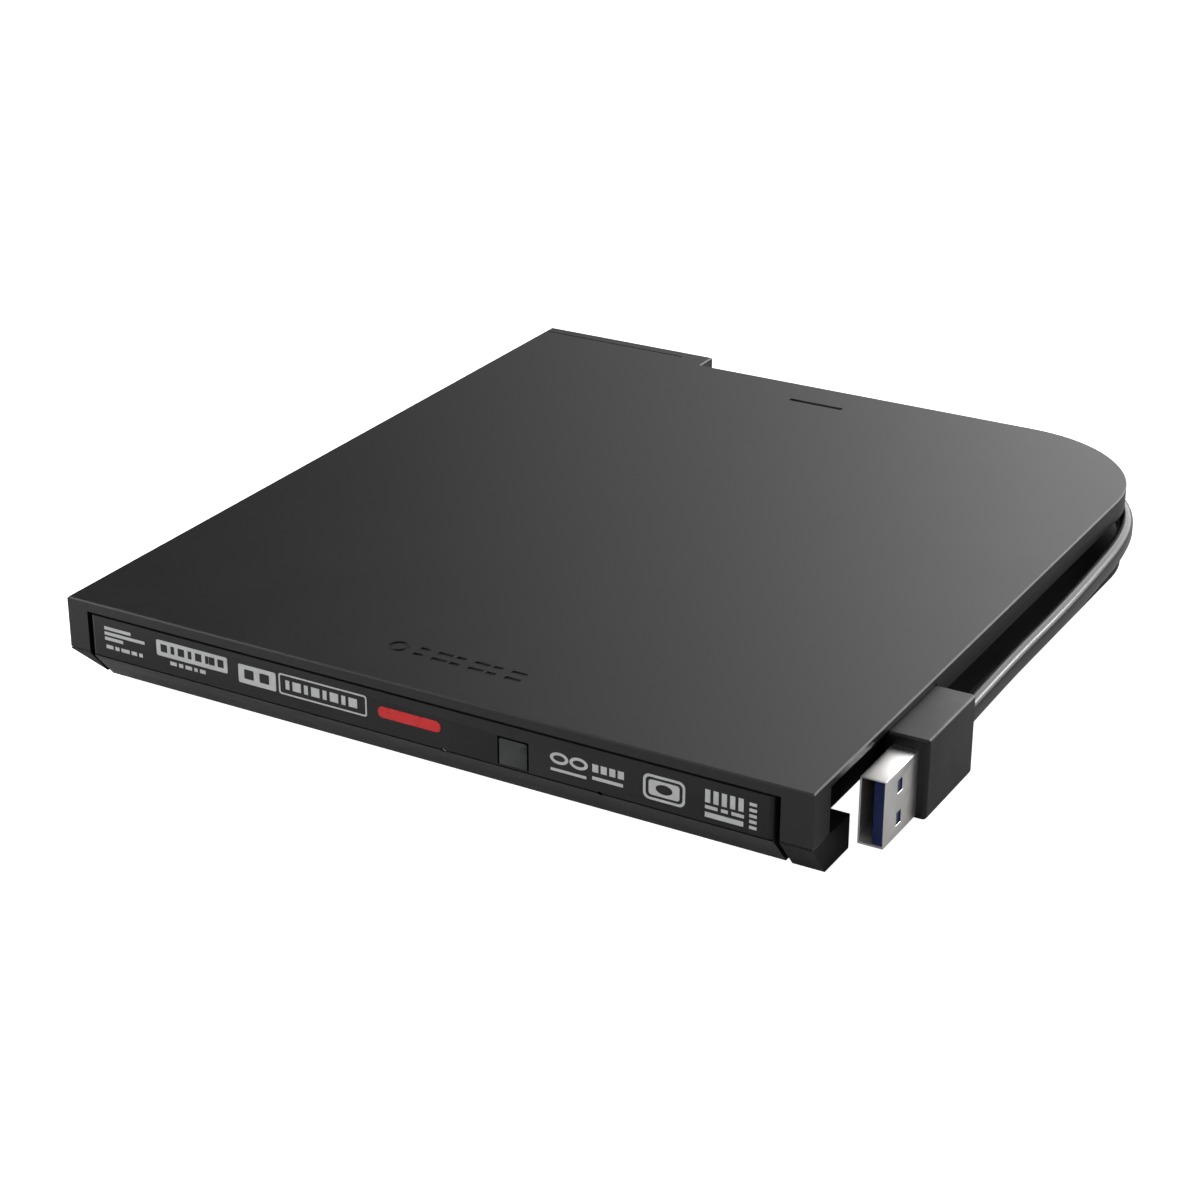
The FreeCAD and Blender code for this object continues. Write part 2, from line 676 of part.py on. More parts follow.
def make_tray():
    tray = Piece("tray")
    tub_x = ("drive_x - tub_half", "drive_x + tub_half")
    deck_x = ("drive_x - tray_half", "drive_x + tray_half")
    tray.pad([rectangle(deck_x, ("tray_front", "tray_rear"))], "deck_under", "deck_top")
    tray.pad([rectangle(tub_x, ("tub_front", "tray_rear"))], "tray_base", "deck_under")
    hollow_x = ("drive_x - tub_half + 1.5", "drive_x + tub_half - 1.5")
    tray.pocket([rectangle(hollow_x, ("tub_front + 1.3", "tray_rear - 1.3"))], "tray_base", "deck_under")
    for sign in "-+":
        near = f"drive_x {sign} (tub_half - 0.5)"
        far = f"drive_x {sign} (runner_inner + 0.7)"
        tongue_x = (near, far) if sign == "+" else (far, near)
        tray.pad([rectangle(tongue_x, ("-70", "39"))], "6.45", "7.35")
    tray.pocket([("drive_x", "hub_y", "disc_radius")], "disc_floor", "deck_top")
    tray.pocket([("drive_x", "hub_y", "disc_radius - 20")], "disc_floor - 0.3", "disc_floor")
    upper = [(-20, -24), (44, -24), (44, -16), (62.2, -16)]
    lower = [(u, -v) for u, v in reversed(upper)]
    tray.pocket([local_outline(upper + lower)], "deck_under - 0.5", "deck_top")
    notch = rectangle(("drive_x + 41", "drive_x + 57"), ("tray_rear - 2", "tray_rear + 1"))
    tray.pocket([notch], "tray_base - 1", "8.6")
    button_x = ("button_left - 1.5", "button_right + 1.5")
    tray.pocket([rectangle(button_x, ("tub_front - 1", "tub_front + 2"))], "tray_base - 1", "deck_under")
    tray.pocket([rectangle(button_x, ("tray_front - 1", "stop_front"))], "tray_base - 1", "11.0")
    tray.pocket([rectangle(button_x, ("stop_front + 0.8", "tub_front + 0.5"))], "tray_base - 1", "11.0")
    tray.pad([rectangle(button_x, ("stop_front", "stop_front + 0.8"))], "7.0", "deck_under")
    stem_hole = (BUTTON_MIDDLE, "stem_level", "1.0 + fit_gap")
    tray.pocket([stem_hole], "-stop_front - 1", "1 - stop_front", plane="XZ_Plane")
    pusher_hole = ("drive_x + 33.5", "6.6", "1.7")
    tray.pocket([pusher_hole], "-tray_rear - 1", "3 - tray_rear", plane="XZ_Plane")


def make_bezel():
    bezel = Piece("bezel")
    profile = [
        ("case_front", "bezel_top"),
        ("case_front", "groove_line"),
        ("case_front + bevel_depth", "bezel_base"),
        ("bezel_toe", "bezel_base"),
        ("bezel_toe", "bezel_base + 1.5"),
        ("bezel_back", "groove_line + 0.5"),
        ("bezel_back", "bezel_top"),
    ]
    bezel.pad([profile], "bezel_left", "bezel_right", plane="YZ_Plane")
    groove = [
        ("case_front - 1", "groove_line + 0.25"),
        ("case_front + 0.55", "groove_line + 0.1"),
        ("case_front + 0.55", "groove_line - 0.15"),
        ("case_front - 1", "groove_line - 0.25"),
    ]
    bezel.pocket([groove], "bezel_left - 1", "bezel_right + 1", plane="YZ_Plane")
    window_x = ("button_left - button_gap", "button_right + button_gap")
    window_z = ("button_base - 0.1", "button_top + button_gap")
    bezel.pocket([rectangle(window_x, window_z)], "-bezel_back - 1", "1 - case_front", plane="XZ_Plane")
    stripe = rectangle(("stripe_left", "stripe_right"), ("stripe_base", "stripe_top"))
    bezel.pocket([stripe], "-case_front - 0.5", "1 - case_front", plane="XZ_Plane")
    for corner in ("stripe_left", "stripe_right"):
        bezel.fillet(along_y_at(corner, ("stripe_base", "stripe_top")), "0.95")
    holes = [("pinhole_x", "groove_line - 0.1", "0.45"), ("light_x", "groove_line - 0.1", "0.5")]
    bezel.pocket(holes, "-bezel_back - 3", "1 - case_front", plane="XZ_Plane")
    for end in ("bezel_left", "bezel_right"):
        bezel.fillet(upright_at(end, "case_front"), "0.9")


def along_y_at(x, levels):
    """Tells an edge that runs along Y at a place in X and one of some heights."""
    def test(edge):
        box = edge.BoundBox
        level = any(abs(box.ZMin - value(z)) < 0.01 for z in levels)
        return abs(box.XMin - value(x)) < 0.01 and box.XLength < 0.01 and box.ZLength < 0.01 and level
    return test


def make_bezel_inlays():
    stripe = Piece("bezel_stripe")
    gap = 0.04
    x = (f"stripe_left + {gap}", f"stripe_right - {gap}")
    z = (f"stripe_base + {gap}", f"stripe_top - {gap}")
    stripe.pad([rectangle(x, z)], "-case_front - 0.48", "0.05 - case_front", plane="XZ_Plane")
    for end in x:
        stripe.fillet(along_y_at(end, z), "0.92")
    pipe_start = ("light_x", "case_front + 0.62", "groove_line - 0.1")
    keep(rod("light_pipe", pipe_start, 2.2, 0.42, "y"), "bezel_lens")


def make_button():
    button = Piece("eject_button")
    face = rectangle(("button_left", "button_right"), ("button_base", "button_top"))
    button.pad([face], "-case_front - 1.6", "-case_front", plane="XZ_Plane")
    button.fillet(along_y_at("button_right", ["button_top"]), "0.5")
    button.fillet(along_y_at("button_left", ["button_top"]), "0.3")
    stem = (BUTTON_MIDDLE, "stem_level", "1.0")
    button.pad([stem], "-case_front - 6.5", "-case_front - 1.5", plane="XZ_Plane")


def make_switch():
    switch_x = (f"{BUTTON_MIDDLE} - 2.6", f"{BUTTON_MIDDLE} + 2.6")
    keep(block("switch_body", switch_x, (-76.0, -73.4), (6.9, 9.5)), "eject_switch")
    start = Vector(value(BUTTON_MIDDLE), value("case_front") + 1.85, value("stem_level"))
    coil_spring("button_spring", start, value("stop_front") - start.y - 0.2, 4, 1.35, 0.16)


def coil_spring(label, start, length, turns, radius, wire):
    """Compression spring along Y, as a wire swept along a helix."""
    helix = Part.makeHelix(length / turns, length, radius)
    section = Part.Wire([Part.makeCircle(wire, Vector(radius, 0, 0), Vector(0, 1, 0))])
    coil = doc.addObject("Part::Feature", label + "_coil")
    coil.Shape = Part.Wire(helix.Edges).makePipeShell([section], True, True)
    coil.Placement = Placement(start, TURNS["y"])
    keep(coil, label)


def make_tray_plate():
    plate = Piece("tray_plate")
    plate_x = ("drive_x - tub_half + 0.3", "drive_x + tub_half - 0.3")
    plate_y = ("tub_front + 0.2", "tray_rear - 0.3")
    plate.pad([rectangle(plate_x, plate_y)], "plate_base", "plate_top")
    flat_slot = rectangle(("drive_x + 17", "drive_x + 28"), ("33.4", "35.4"))
    plate.pocket([flat_slot], "plate_base", "plate_top")


def make_tray_board():
    board = block("tray_board_blank", (2, 28.4), (17, 33.2), (4.5, 5.3))
    chips = [
        block("tray_chip_main", (5, 14), (20, 29), (5.3, 6.6)),
        block("tray_chip_driver", (21, 27), (20, 26), (5.3, 6.5)),
        block("tray_flat_socket", ("drive_x + 17", "drive_x + 28"), (29.2, 33.0), (5.3, 6.8)),
    ]
    keep(fuse("tray_board_all", board, *chips), "tray_board")


def make_flat_cable():
    """Flexible flat cable: chassis socket, pan floor, fold under the tray, tray's socket."""
    cable = Piece("flat_cable")
    under = [
        (44.0, 4.8),
        (42.9, 4.8),
        (42.9, 3.05),
        ("flat_fold", 3.05),
        ("flat_fold", 3.36),
        (34.4, 3.36),
        (34.4, 6.12),
        (33.0, 6.12),
    ]
    over = [
        (33.0, 6.0),
        (34.28, 6.0),
        (34.28, 3.48),
        ("flat_fold - 0.12", 3.48),
        ("flat_fold - 0.12", 2.93),
        (43.02, 2.93),
        (43.02, 4.68),
        (44.0, 4.68),
    ]
    cable.pad([under + over], "drive_x + 17.6", "drive_x + 27.4", plane="YZ_Plane")


def make_latch():
    """Hook on a pin, with a tail that the magnet's core pulls to release the tray."""
    pin = rod("latch_pin_rod", ("drive_x + 44", 33, "plate_top + 0.1"), 5.5, 0.8)
    keep(pin, "latch_pivot")
    eye = ring("latch_eye", ("drive_x + 44", 33, 5.6), 1.2, 2.0, "0.8 + fit_gap")
    arm = block("latch_arm", ("drive_x + 42.6", "drive_x + 45.4"), (34.8, 47.7), (5.6, 6.8))
    tooth = block("latch_tooth", ("drive_x + 45.4", "drive_x + 49.6"), (46.6, 47.7), (5.6, 6.8))
    tail = block("latch_tail", ("drive_x + 42.9", "drive_x + 45.1"), (25.5, 31.3), (5.6, 6.8))
    keep(fuse("latch_all", eye, arm, tooth, tail), "latch_hook")
    coil = block("magnet_body", ("drive_x + 47", "drive_x + 55.4"), (23, 31), (4.2, 9.2))
    bore = rod("magnet_bore", ("drive_x + 46", 27, 6.6), 8, "1.3", "x")
    keep(cut("magnet", coil, bore), "latch_magnet")
    core = rod("magnet_core_rod", ("drive_x + 46.4", 27, 6.6), 5.6, "1.3 - fit_gap", "x")
    keep(core, "magnet_core")


def make_ejector():
    sleeve = block("sleeve_block", ("drive_x + 31", "drive_x + 36"), (24, 41.0), (4.2, 9.0))
    bore = rod("sleeve_bore", ("drive_x + 33.5", 25, 6.6), 18, "1.5 + fit_gap", "y")
    keep(cut("sleeve", sleeve, bore), "ejector_sleeve")
    keep(rod("pusher_rod", ("drive_x + 33.5", 33, 6.6), 15.2, 1.5, "y"), "ejector_pusher")
    coil_spring("ejector_spring", Vector(value("drive_x + 33.5"), 25.3, 6.6), 7.4, 8, 1.15, 0.18)


# ---- traverse ----

def make_traverse():
    frame = Piece("traverse_frame")
    outline = [(-18, -21), (57, -21), (62.8, -16), (62.8, 16), (57, 21), (-18, 21)]
    frame.pad([local_outline(outline)], "frame_base", "frame_top")
    frame.pocket([local_outline([(17, -9), (57, -9), (57, 9), (17, 9)])], "frame_base", "frame_top")
    holders = []
    for sign in (-1, 1):
        for near, far in ((3.6, 6.0), (61.2, 62.7)):
            low, high = sorted((sign * 11.4, sign * 14.6))
            holders.append(local_outline([(near, low), (far, low), (far, high), (near, high)]))
    frame.pad(holders, "frame_top - 0.1", "rod_level - rod_radius")
    rods = [
        rod(f"guide_rod_{sign}", ("3.8", f"{sign}rod_v", "rod_level"), 58.7, "rod_radius", "x")
        for sign in "-+"
    ]
    keep(on_traverse(group("guide_rod_group", *rods)), "guide_rods")
    shaft = rod("lead_shaft", (2.2, "screw_v", "rod_level"), 57, 1.0, "x")
    keep(on_traverse(group("lead_screw_group", shaft)), "lead_screw")
    can = rod("feed_motor_can", (-12, "screw_v", "rod_level"), 14, 1.95, "x")
    keep(on_traverse(group("feed_motor_group", can)), "feed_motor")


def make_spindle():
    stator = ring("stator_ring", (0, 0, "frame_top"), 3.0, 8.2, 2.75)
    keep(on_traverse(stator), "spindle_stator")
    bearing = ring("bearing_ring", (0, 0, "frame_top"), 3.2, 2.6, "1.0 + fit_gap")
    keep(on_traverse(bearing), "spindle_bearing")
    cup = ring("rotor_wall", (0, 0, 5.6), 3.1, 9.6, 8.7)
    disc = rod("rotor_disc", (0, 0, 8.5), 1.3, 13.0)
    shaft = rod("rotor_shaft", (0, 0, 5.2), 4.0, 1.0)
    hub = rod("rotor_hub", (0, 0, 9.6), "hub_top - 9.6", "hub_radius")
    pockets = []
    for number in range(3):
        slot = block(f"pawl_slot_{number}", (3.6, 9), (-1.5, 1.5), (11.0, 12.0))
        slot.Placement.Rotation = Rotation(Vector(0, 0, 1), 120 * number)
        bind_base(slot, *turned(3.6, -1.5, 120 * number), 11.0)
        pockets.append(slot)
    rotor = cut("rotor", fuse("rotor_solid", cup, disc, shaft, hub), *pockets)
    keep(on_traverse(rotor), "turntable")
    keep(on_traverse(ring("pad_ring", (0, 0, 9.8), "disc_level - 9.8", 12.6, 9.2)), "disc_pad")
    for number in range(3):
        pawl = block(f"pawl_{number}", (5.0, 7.6), (-1.2, 1.2), (11.2, 11.85))
        pawl.Placement.Rotation = Rotation(Vector(0, 0, 1), 120 * number)
        bind_base(pawl, *turned(5.0, -1.2, 120 * number), 11.2)
        holder = group(f"pawl_group_{number}", pawl)
        keep(on_traverse(holder), f"clamp_pawl_{number + 1}")


def turned(u, v, degrees):
    """A plan point turned about the hub, as formulas."""
    return (
        f"({u}) * cos({degrees}) - ({v}) * sin({degrees})",
        f"({u}) * sin({degrees}) + ({v}) * cos({degrees})",
    )


def make_pickup():
    body = block("sled_blank", ("lens_rest - 13", "lens_rest + 4.5"), ("-sled_half", "sled_half"), (5.3, 8.7))
    crescent = rod("sled_crescent", (0, 0, 5), 5, 13.9)
    bores = [
        rod(f"sled_bore_{sign}", ("lens_rest - 14", f"{sign}rod_v", "rod_level"), 20, "rod_radius + 0.05", "x")
        for sign in "-+"
    ]
    well = block("lens_well", ("lens_rest - 4", "lens_rest + 3.7"), (-5, 5), (6.4, 9))
    follower_v = ("sled_half", "sled_half + 1.6")
    follower = block("sled_follower", ("lens_rest - 8", "lens_rest - 2"), follower_v, (6, 8))
    sled = cut("sled", fuse("sled_solid", body, follower), crescent, well, *bores)
    keep(on_traverse(sled), "pickup_sled")
    magnets = [
        block(f"lens_magnet_{side}", ("lens_rest - 3.4", "lens_rest + 3.2"), pair, (6.4, 8.6))
        for side, pair in enumerate(((-4.8, -3.9), (3.9, 4.8)))
    ]
    keep(on_traverse(group("magnet_pair", *magnets)), "lens_magnets")
    holder = block("lens_block", ("lens_rest - 3.2", "lens_rest + 3.2"), (-3.4, 3.4), (7.0, 9.0))
    seat = rod("lens_seat", ("lens_rest", 0, 8.0), 2, 2.3)
    keep(on_traverse(cut("lens_cup", holder, seat)), "lens_holder")
    glass = rod("lens_base", ("lens_rest", 0, 8.0), 1.1, 2.25)
    ball = doc.addObject("Part::Sphere", "lens_ball")
    bind(ball, "Radius", 3.4)
    bind_base(ball, "lens_rest", 0, 6.3)
    dome = common("lens_dome", ball, rod("lens_limit", ("lens_rest", 0, 8.9), 1, 2.2))
    keep(on_traverse(fuse("lens_glass", glass, dome)), "objective_lens")


# ---- lead ----

LEAD_ROUTE = [
    (-32.1, 75.2),
    (-10.0, 75.7),
    (12.0, 75.95),
    (32.0, 75.85),
    (48.0, 75.2),
    (59.3, 71.6),
    (67.6, 65.2),
    (73.2, 55.2),
    (75.6, 43.0),
    (76.4, 26.0),
    (76.9, 7.0),
    (76.7, -15.0),
    (77.3, -36.85),
]


def lead_path(level):
    """Straight runs joined by the largest tangent arcs, as one wire."""
    points = [Vector(x, y, level) for x, y in LEAD_ROUTE]
    edges = []
    radii = []
    start = points[0]
    for before, corner, after in zip(points, points[1:], points[2:]):
        incoming = corner - before
        outgoing = after - corner
        half_turn = incoming.getAngle(outgoing) / 2
        setback = 0.45 * min(incoming.Length, outgoing.Length)
        radii.append(setback / math.tan(half_turn))
        enter = corner - incoming * (setback / incoming.Length)
        leave = corner + outgoing * (setback / outgoing.Length)
        bisector = (leave - corner) + (enter - corner)
        apex_distance = radii[-1] / math.cos(half_turn) - radii[-1]
        middle = corner + bisector * (apex_distance / bisector.Length)
        edges.append(Part.LineSegment(start, enter).toShape())
        edges.append(Part.Arc(enter, middle, leave).toShape())
        start = leave
    edges.append(Part.LineSegment(start, points[-1]).toShape())
    return Part.Wire(edges), radii


def stadium(centre, along, thick, tall):
    """Section of the flat lead: two flats and two half rounds, upright."""
    side = along.cross(Vector(0, 0, 1)) * (thick / 2)
    up = Vector(0, 0, (tall - thick) / 2)
    crown = Vector(0, 0, tall / 2)
    return Part.Wire([
        Part.LineSegment(centre - side - up, centre - side + up).toShape(),
        Part.Arc(centre - side + up, centre + crown, centre + side + up).toShape(),
        Part.LineSegment(centre + side + up, centre + side - up).toShape(),
        Part.Arc(centre + side - up, centre - crown, centre - side - up).toShape(),
    ])


def make_lead():
    thick = value("lead_thick")
    tall = value("lead_tall")
    path, radii = lead_path(value("lead_level"))
    first = path.Edges[0]
    along = (first.Vertexes[1].Point - first.Vertexes[0].Point).normalize()
    section = stadium(first.Vertexes[0].Point, along, thick, tall)
    lead = doc.addObject("Part::Feature", "lead_solid")
    lead.Shape = path.makePipeShell([section], True, True)
    lead.Placement = Placement()
    keep(lead, "cable")
    expected = path.Length * (math.pi * thick ** 2 / 4 + thick * (tall - thick))
    print(f"lead: length {path.Length:.1f}, volume {lead.Shape.Volume:.0f} of {expected:.0f}")
    print("lead radii: " + ", ".join(f"{radius:.0f}" for radius in radii))
    if abs(lead.Shape.Volume / expected - 1) > 0.02:
        raise RuntimeError("the lead's volume is not its section times its length")


def make_gland():
    """Strain relief in the bump's end, with the lead's inner tail to its socket."""
    collar_x = ("bump_right - 4.2", "bump_right - 0.2")
    collar_y = (f"{GROOVE_Y} + 0.1", "case_rear - 0.1")
    keep(block("gland_collar", collar_x, collar_y, ("part_line + 0.05", "groove_top - 0.05")), "cable_gland")
    tail = block("lead_tail_run", (-49, -36.2), (74.2, 77.0), (8.2, 10.4))
    drop = block("lead_tail_drop", (-49, -46), (68.6, 74.2), (8.2, 10.4))
    keep(fuse("lead_tail", tail, drop), "lead_tail")


def make_plug():
    body = Piece("plug_overmould")
    plan = rectangle(("plug_inner", "plug_outer"), ("plug_front", "plug_rear"))
    body.pad([plan], "plug_base", "plug_top")
    body.fillet(upright_at_any(plan), "0.8")
    body.fillet(all_at("plug_top"), "0.6")
    body.fillet(all_at("plug_base"), "0.6")
    x = ("shell_inner", "shell_outer")
    y = ("shell_front", "plug_front")
    z = ("shell_base", "shell_top")
    metal = Piece("plug_shell")
    metal.pad([rectangle(x, y)], *z)
    inner_x = ("shell_inner + shell_sheet", "shell_outer - shell_sheet")
    metal.pocket([rectangle(inner_x, ("shell_front - 1", "plug_front"))], "shell_base + shell_sheet",
                 "shell_top - shell_sheet")
    middle = "(shell_base + shell_top) / 2"
    for shift in ("- 4.05", "+ 1.75"):
        window_z = (f"{middle} {shift}", f"{middle} {shift} + 2.3")
        window = rectangle(("shell_front + 4.8", "shell_front + 6.8"), window_z)
        metal.pocket([window], "shell_outer - shell_sheet * 1.5", "shell_outer + 1", plane="YZ_Plane")
    tongue_x = ("shell_outer - shell_sheet - 1.85", "shell_outer - shell_sheet - 0.02")
    tongue_y = ("shell_front + 0.5", "plug_front")
    tongue_z = ("shell_base + 0.42", "shell_top - 0.42")
    keep(block("plug_tongue_block", tongue_x, tongue_y, tongue_z), "plug_tongue")
    contact_x = ("shell_outer - shell_sheet - 2.0", "shell_outer - shell_sheet - 1.85")
    contact_y = ("shell_front + 1.5", "plug_front - 0.4")
    contacts = []
    for number in range(4):
        low = f"shell_base + {1.9 + 2.3 * number:.2f}"
        contacts.append(block(f"contact_{number}", contact_x, contact_y, (low, f"{low} + 1.2")))
    keep(group("contact_group", *contacts), "plug_contacts")


make_top_cover()
make_bottom_cover()
make_fasteners()
make_pan()
make_lid()
for side, sign in (("left", "-"), ("right", "+")):
    make_guide(side, sign)
    make_runner(side, sign)
make_rear_electronics()
make_bridge()
make_tray()
make_bezel()
make_bezel_inlays()
make_button()
make_switch()
make_tray_plate()
make_tray_board()
make_flat_cable()
make_latch()
make_ejector()
make_traverse()
make_spindle()
make_pickup()
make_lead()
make_gland()
make_plug()
doc.recompute()

for thing in doc.Objects:
    if {"Invalid", "Error"} & set(thing.State):
        raise RuntimeError(f"{thing.Label} failed: {thing.State}")
for node in nodes:
    if node.Shape.isNull() or not node.Shape.isValid():
        raise RuntimeError(f"{node.Label} has no valid shape")

os.makedirs("parts", exist_ok=True)
for node in nodes:
    node.Shape.exportStep(f"parts/{node.Label}.step")
print(f"{len(nodes)} nodes written")
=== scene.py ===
"""Looks of the portable disc drive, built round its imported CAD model. Metres, front towards -Y, up +Z."""
import json
import math

import bmesh
import bpy
from mathutils import Matrix, Vector

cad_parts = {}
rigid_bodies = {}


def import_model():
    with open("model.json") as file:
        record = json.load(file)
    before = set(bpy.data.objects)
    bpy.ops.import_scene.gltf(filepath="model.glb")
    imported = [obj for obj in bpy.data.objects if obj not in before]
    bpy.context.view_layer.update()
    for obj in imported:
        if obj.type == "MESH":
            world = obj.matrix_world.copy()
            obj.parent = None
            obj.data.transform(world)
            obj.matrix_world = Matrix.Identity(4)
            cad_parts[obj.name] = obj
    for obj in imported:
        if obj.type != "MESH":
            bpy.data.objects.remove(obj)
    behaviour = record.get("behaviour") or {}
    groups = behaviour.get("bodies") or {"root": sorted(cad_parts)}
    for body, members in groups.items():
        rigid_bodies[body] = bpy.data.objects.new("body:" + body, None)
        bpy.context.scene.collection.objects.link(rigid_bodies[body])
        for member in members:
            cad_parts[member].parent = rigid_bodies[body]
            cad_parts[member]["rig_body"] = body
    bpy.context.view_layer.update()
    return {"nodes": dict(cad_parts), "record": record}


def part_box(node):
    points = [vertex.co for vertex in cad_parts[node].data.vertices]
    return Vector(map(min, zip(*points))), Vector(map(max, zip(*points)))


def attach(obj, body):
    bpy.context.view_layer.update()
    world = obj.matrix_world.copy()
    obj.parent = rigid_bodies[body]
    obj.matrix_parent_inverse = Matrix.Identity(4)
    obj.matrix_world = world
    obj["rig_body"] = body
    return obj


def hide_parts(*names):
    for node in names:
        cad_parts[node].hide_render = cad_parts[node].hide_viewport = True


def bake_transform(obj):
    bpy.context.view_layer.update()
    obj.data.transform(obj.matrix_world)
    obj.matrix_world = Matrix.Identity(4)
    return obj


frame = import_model()

MM = 0.001
SLOT_OF = {part["node"]: part["material_slot"] for part in frame["record"]["subparts"]}


# ---- camera, floor and lights ----

def aim(thing, place, target, roll=0.0):
    """Put a thing at a place, looking at a target."""
    way = Vector(target) - Vector(place)
    turn = way.to_track_quat("-Z", "Y").to_matrix().to_4x4()
    thing.matrix_world = Matrix.Translation(place) @ turn @ Matrix.Rotation(roll, 4, "Z")


def make_camera():
    lens = bpy.data.cameras.new("camera")
    lens.sensor_width = 36
    lens.lens = 81.203
    lens.clip_start = 0.01
    lens.clip_end = 50
    camera = bpy.data.objects.new("camera", lens)
    bpy.context.scene.collection.objects.link(camera)
    aim(camera, (0.22209, -0.41274, 0.21475), (0.00934, -0.03837, 0.017), math.radians(0.117))
    bpy.context.scene.camera = camera


def area_light(name, place, target, width, height, power):
    light = bpy.data.lights.new(name, "AREA")
    light.shape = "RECTANGLE"
    light.size = width
    light.size_y = height
    light.energy = power
    lamp = bpy.data.objects.new(name, light)
    bpy.context.scene.collection.objects.link(lamp)
    aim(lamp, place, target)
    lamp.visible_camera = False


def make_room():
    """A dim room that the camera sees as white."""
    scene = bpy.context.scene
    scene.view_settings.view_transform = "Standard"
    world = bpy.data.worlds.new("room")
    world.use_nodes = True
    scene.world = world
    nodes, links = world.node_tree.nodes, world.node_tree.links
    dim = nodes["Background"]
    dim.inputs["Color"].default_value = (0.95, 0.97, 1.0, 1)
    dim.inputs["Strength"].default_value = 0.02
    bright = nodes.new("ShaderNodeBackground")
    bright.inputs["Strength"].default_value = 1.05
    chooser = nodes.new("ShaderNodeMixShader")
    rays = nodes.new("ShaderNodeLightPath")
    links.new(rays.outputs["Is Camera Ray"], chooser.inputs["Fac"])
    links.new(dim.outputs[0], chooser.inputs[1])
    links.new(bright.outputs[0], chooser.inputs[2])
    links.new(chooser.outputs[0], nodes["World Output"].inputs["Surface"])


def floor_paint():
    """A matt pale paint that looks lit up to the camera only, so that it stays white without shadows."""
    paint = bpy.data.materials.new("floor_paint")
    paint.use_nodes = True
    nodes, links = paint.node_tree.nodes, paint.node_tree.links
    shader = nodes["Principled BSDF"]
    shader.inputs["Base Color"].default_value = (0.62, 0.62, 0.62, 1)
    shader.inputs["Roughness"].default_value = 0.9
    shader.inputs["Specular IOR Level"].default_value = 0.1
    shader.inputs["Emission Color"].default_value = (1, 1, 1, 1)
    rays = nodes.new("ShaderNodeLightPath")
    links.new(rays.outputs["Is Camera Ray"], shader.inputs["Emission Strength"])
    return paint


def make_floor():
    half = 6.0
    mesh = bpy.data.meshes.new("floor")
    corners = [(-half, -half, 0), (half, -half, 0), (half, half, 0), (-half, half, 0)]
    mesh.from_pydata(corners, [], [(0, 1, 2, 3)])
    mesh.materials.append(floor_paint())
    floor = bpy.data.objects.new("floor", mesh)
    bpy.context.scene.collection.objects.link(floor)


def make_lamps():
    """A soft lamp in front, a window and its curtain behind, a strip for the edges and a lamp at the left."""
    area_light("overhead", (0.3, -1.1, 2.0), (0.0, -0.1, 0.0), 2.0, 2.0, 15)
    area_light("rear_window", (0.555, 2.3, 1.15), (0.555, 0.0, 1.15), 2.69, 2.1, 60)
    area_light("rear_curtain", (-1.14, 2.3, 1.15), (-1.14, 0.0, 1.15), 0.7, 2.1, 3.0)
    area_light("edge_strip", (0.92, 1.73, 1.0), (0.0, 0.0, 0.0), 0.4, 0.6, 13)
    area_light("left_side", (-1.6, -0.5, 0.4), (0.0, 0.0, 0.0), 0.8, 0.8, 55)


# ---- materials ----

GRAIN_SHARE = 0.3
FAINT = 0.3
STRONG = 0.7


def noise(nodes, links, where, size, detail):
    """Noise whose spots are about this many mm wide."""
    texture = nodes.new("ShaderNodeTexNoise")
    texture.inputs["Scale"].default_value = 1 / (size * MM)
    texture.inputs["Detail"].default_value = detail
    links.new(where, texture.inputs["Vector"])
    return texture.outputs["Fac"]


def stretched(nodes, links, where, along):
    stretch = nodes.new("ShaderNodeMapping")
    stretch.inputs["Scale"].default_value = along
    links.new(where, stretch.inputs["Vector"])
    return stretch.outputs["Vector"]


def mixed(nodes, links, patches, grains):
    """Patches with a share of the fine grain in them."""
    share = nodes.new("ShaderNodeMath")
    share.operation = "MULTIPLY"
    share.inputs[1].default_value = 1 - GRAIN_SHARE
    links.new(patches, share.inputs[0])
    blend = nodes.new("ShaderNodeMath")
    blend.operation = "MULTIPLY_ADD"
    blend.inputs[1].default_value = GRAIN_SHARE
    links.new(grains, blend.inputs[0])
    links.new(share.outputs[0], blend.inputs[2])
    return blend.outputs[0]


def tinted(nodes, links, pattern, colour, spread):
    """The colour, darker where the pattern is faint and lighter where it is strong."""
    ramp = nodes.new("ShaderNodeValToRGB")
    low, high = ramp.color_ramp.elements
    low.position = FAINT
    high.position = STRONG
    low.color = [c * (1 - spread) for c in colour] + [1]
    high.color = [min(1.0, c * (1 + spread)) for c in colour] + [1]
    links.new(pattern, ramp.inputs["Fac"])
    return ramp.outputs["Color"]


def painted_edge_sheen(nodes, links, painted, edge):
    """The colour with a painted edge sheen: pulled towards a mid grey on sharp outer edges, which lightens
    the dark finishes like an edge highlight.
    """
    shape = nodes.new("ShaderNodeNewGeometry")
    rim = nodes.new("ShaderNodeMapRange")
    rim.inputs["From Min"].default_value = 0.52
    rim.inputs["From Max"].default_value = 0.60
    rim.inputs["To Max"].default_value = edge
    links.new(shape.outputs["Pointiness"], rim.inputs["Value"])
    lighten = nodes.new("ShaderNodeMix")
    lighten.data_type = "RGBA"
    lighten.inputs["B"].default_value = (0.35, 0.35, 0.35, 1)
    links.new(rim.outputs["Result"], lighten.inputs["Factor"])
    links.new(painted, lighten.inputs["A"])
    return lighten.outputs["Result"]


def wandering(nodes, links, pattern, middle, spread):
    """A value that wanders with the pattern round its middle."""
    span = nodes.new("ShaderNodeMapRange")
    span.inputs["From Min"].default_value = FAINT
    span.inputs["From Max"].default_value = STRONG
    span.inputs["To Min"].default_value = middle - spread
    span.inputs["To Max"].default_value = middle + spread
    links.new(pattern, span.inputs["Value"])
    return span.outputs["Result"]


